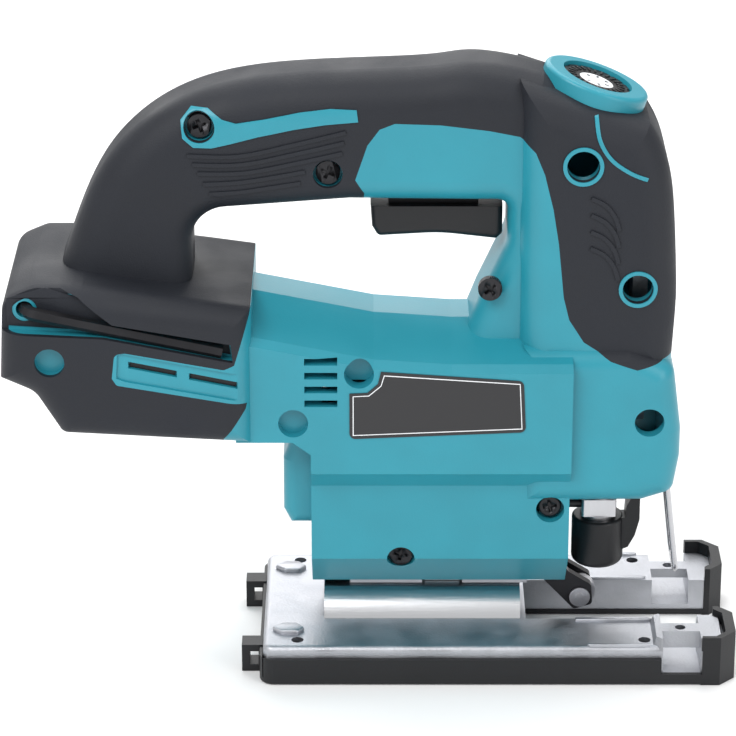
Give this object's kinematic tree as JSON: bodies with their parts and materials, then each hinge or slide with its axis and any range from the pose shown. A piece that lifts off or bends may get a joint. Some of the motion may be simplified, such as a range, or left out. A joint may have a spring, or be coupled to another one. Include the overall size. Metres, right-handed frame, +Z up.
{
  "type": "jigsaw power tool",
  "caption": "Cordless top-handle jigsaw: closed soft-grip handle with trigger, battery mount, gear nose with quick blade clamp, roller guide and a tilting base with fence slots.",
  "frame": {"origin": "bottom centre of the whole tool, on the sole of the cover plate", "axes": "+X forward to the blade, +Z up, +Y to the operator's left"},
  "size_m": [0.248, 0.077, 0.2131],
  "materials": {
    "shell_plastic": "moulded blue-green nylon with a fine satin texture",
    "grip_rubber": "soft dark grey elastomer with a fine stipple",
    "black_plastic": "black moulded plastic",
    "label_film": "blank black film label",
    "dial_print": "white printed disc with plain numbers",
    "cast_aluminium": "as-cast die-cast aluminium",
    "bright_aluminium": "brushed aluminium",
    "steel": "ground steel",
    "black_steel": "blackened steel",
    "bronze": "oiled sintered bronze",
    "contact_metal": "plated copper alloy contacts"
  },
  "bodies": {
    "housing": {"housing_right": "shell_plastic", "housing_left": "shell_plastic", "grip_cover_right": "grip_rubber", "grip_cover_left": "grip_rubber", "housing_screws": "black_steel", "dial_collar": "shell_plastic", "dial_potentiometer": "black_plastic", "switch_unit": "black_plastic", "terminal_block": "black_plastic", "terminal_blades": "contact_metal", "battery_rails": "black_plastic", "controller": "black_plastic", "motor_can": "steel", "brush_holders": "black_plastic", "rear_bearing": "steel", "front_bearing": "steel", "gear_housing": "cast_aluminium", "crank_axle": "steel", "guide_frame": "cast_aluminium", "lower_bush": "bronze", "upper_bush": "bronze", "arm_pin": "steel", "guard_wire": "steel", "rating_label": "label_film", "trigger_spring": "steel"},
    "trigger": {"trigger": "black_plastic"},
    "speed_dial": {"speed_dial": "black_plastic", "dial_label": "dial_print"},
    "rotor": {"armature": "steel", "motor_fan": "black_plastic", "motor_pinion": "steel"},
    "crank": {"crank_gear": "steel"},
    "plunger": {"plunger": "steel", "plunger_yoke": "steel", "blade_clamp_body": "steel", "clamp_pin": "black_steel"},
    "clamp_sleeve": {"clamp_sleeve": "black_plastic"},
    "roller_arm": {"roller_arm": "black_steel", "roller_pin": "steel", "roller_clips": "steel"},
    "roller": {"blade_roller": "steel"},
    "orbit_lever": {"orbit_lever": "black_plastic", "orbit_shaft": "steel"},
    "bevel_clamp": {"clamp_bolt": "black_steel", "clamp_nut": "steel", "clamp_shoe": "steel"},
    "base": {"base_plate": "cast_aluminium", "cover_plate": "black_plastic", "bevel_saddle": "bright_aluminium"},
    "hex_wrench": {"hex_wrench": "black_steel"}
  },
  "joints": [
    {"name": "trigger_pull", "type": "slide", "parent": "housing", "child": "trigger", "axis": [0, 0, 1], "range_m": [0, 0.006], "stiffness_N_per_m": 700, "springref_m": -0.004, "deforming": ["trigger_spring"]},
    {"name": "speed_dial_turn", "type": "hinge", "parent": "housing", "child": "speed_dial", "pos_m": [0.074, 0, 0.206], "axis": [0.3256, 0, 0.9455], "range_deg": [-135, 135]},
    {"name": "rotor_spin", "type": "hinge", "parent": "housing", "child": "rotor", "pos_m": [0.01, 0, 0.092], "axis": [1, 0, 0], "continuous": true},
    {"name": "crank_spin", "type": "hinge", "parent": "housing", "child": "crank", "pos_m": [0.055, 0, 0.11575], "axis": [1, 0, 0], "continuous": true},
    {"name": "plunger_stroke", "type": "slide", "parent": "housing", "child": "plunger", "axis": [0, 0, 1], "range_m": [0, 0.026]},
    {"name": "clamp_sleeve_turn", "type": "hinge", "parent": "plunger", "child": "clamp_sleeve", "pos_m": [0.078, 0, 0.04], "axis": [0, 0, -1], "range_deg": [0, 60], "stiffness_Nm_per_rad": 0.06, "springref_deg": -17.19},
    {"name": "roller_arm_swing", "type": "hinge", "parent": "housing", "child": "roller_arm", "pos_m": [0.06, 0, 0.031], "axis": [0, -1, 0], "range_deg": [0, 5]},
    {"name": "roller_spin", "type": "hinge", "parent": "roller_arm", "child": "roller", "pos_m": [0.072, 0, 0.0175], "axis": [0, 1, 0], "continuous": true},
    {"name": "orbit_lever_turn", "type": "hinge", "parent": "housing", "child": "orbit_lever", "pos_m": [0.04, 0.025, 0.053], "axis": [0, -1, 0], "range_deg": [0, 75]},
    {"name": "base_tilt", "type": "hinge", "parent": "housing", "child": "bevel_clamp", "pos_m": [0.024, 0, 0.008], "axis": [1, 0, 0], "range_deg": [-45, 45]},
    {"name": "base_slide", "type": "slide", "parent": "bevel_clamp", "child": "base", "axis": [-1, 0, 0], "range_m": [0, 0.006]},
    {"name": "hex_wrench_pull", "type": "slide", "parent": "housing", "child": "hex_wrench", "axis": [0, -1, 0], "range_m": [0, 0.02]}
  ],
  "couplings": [
    {"joint": "crank_spin", "follows": "rotor_spin", "ratio": -0.35714}
  ]
}
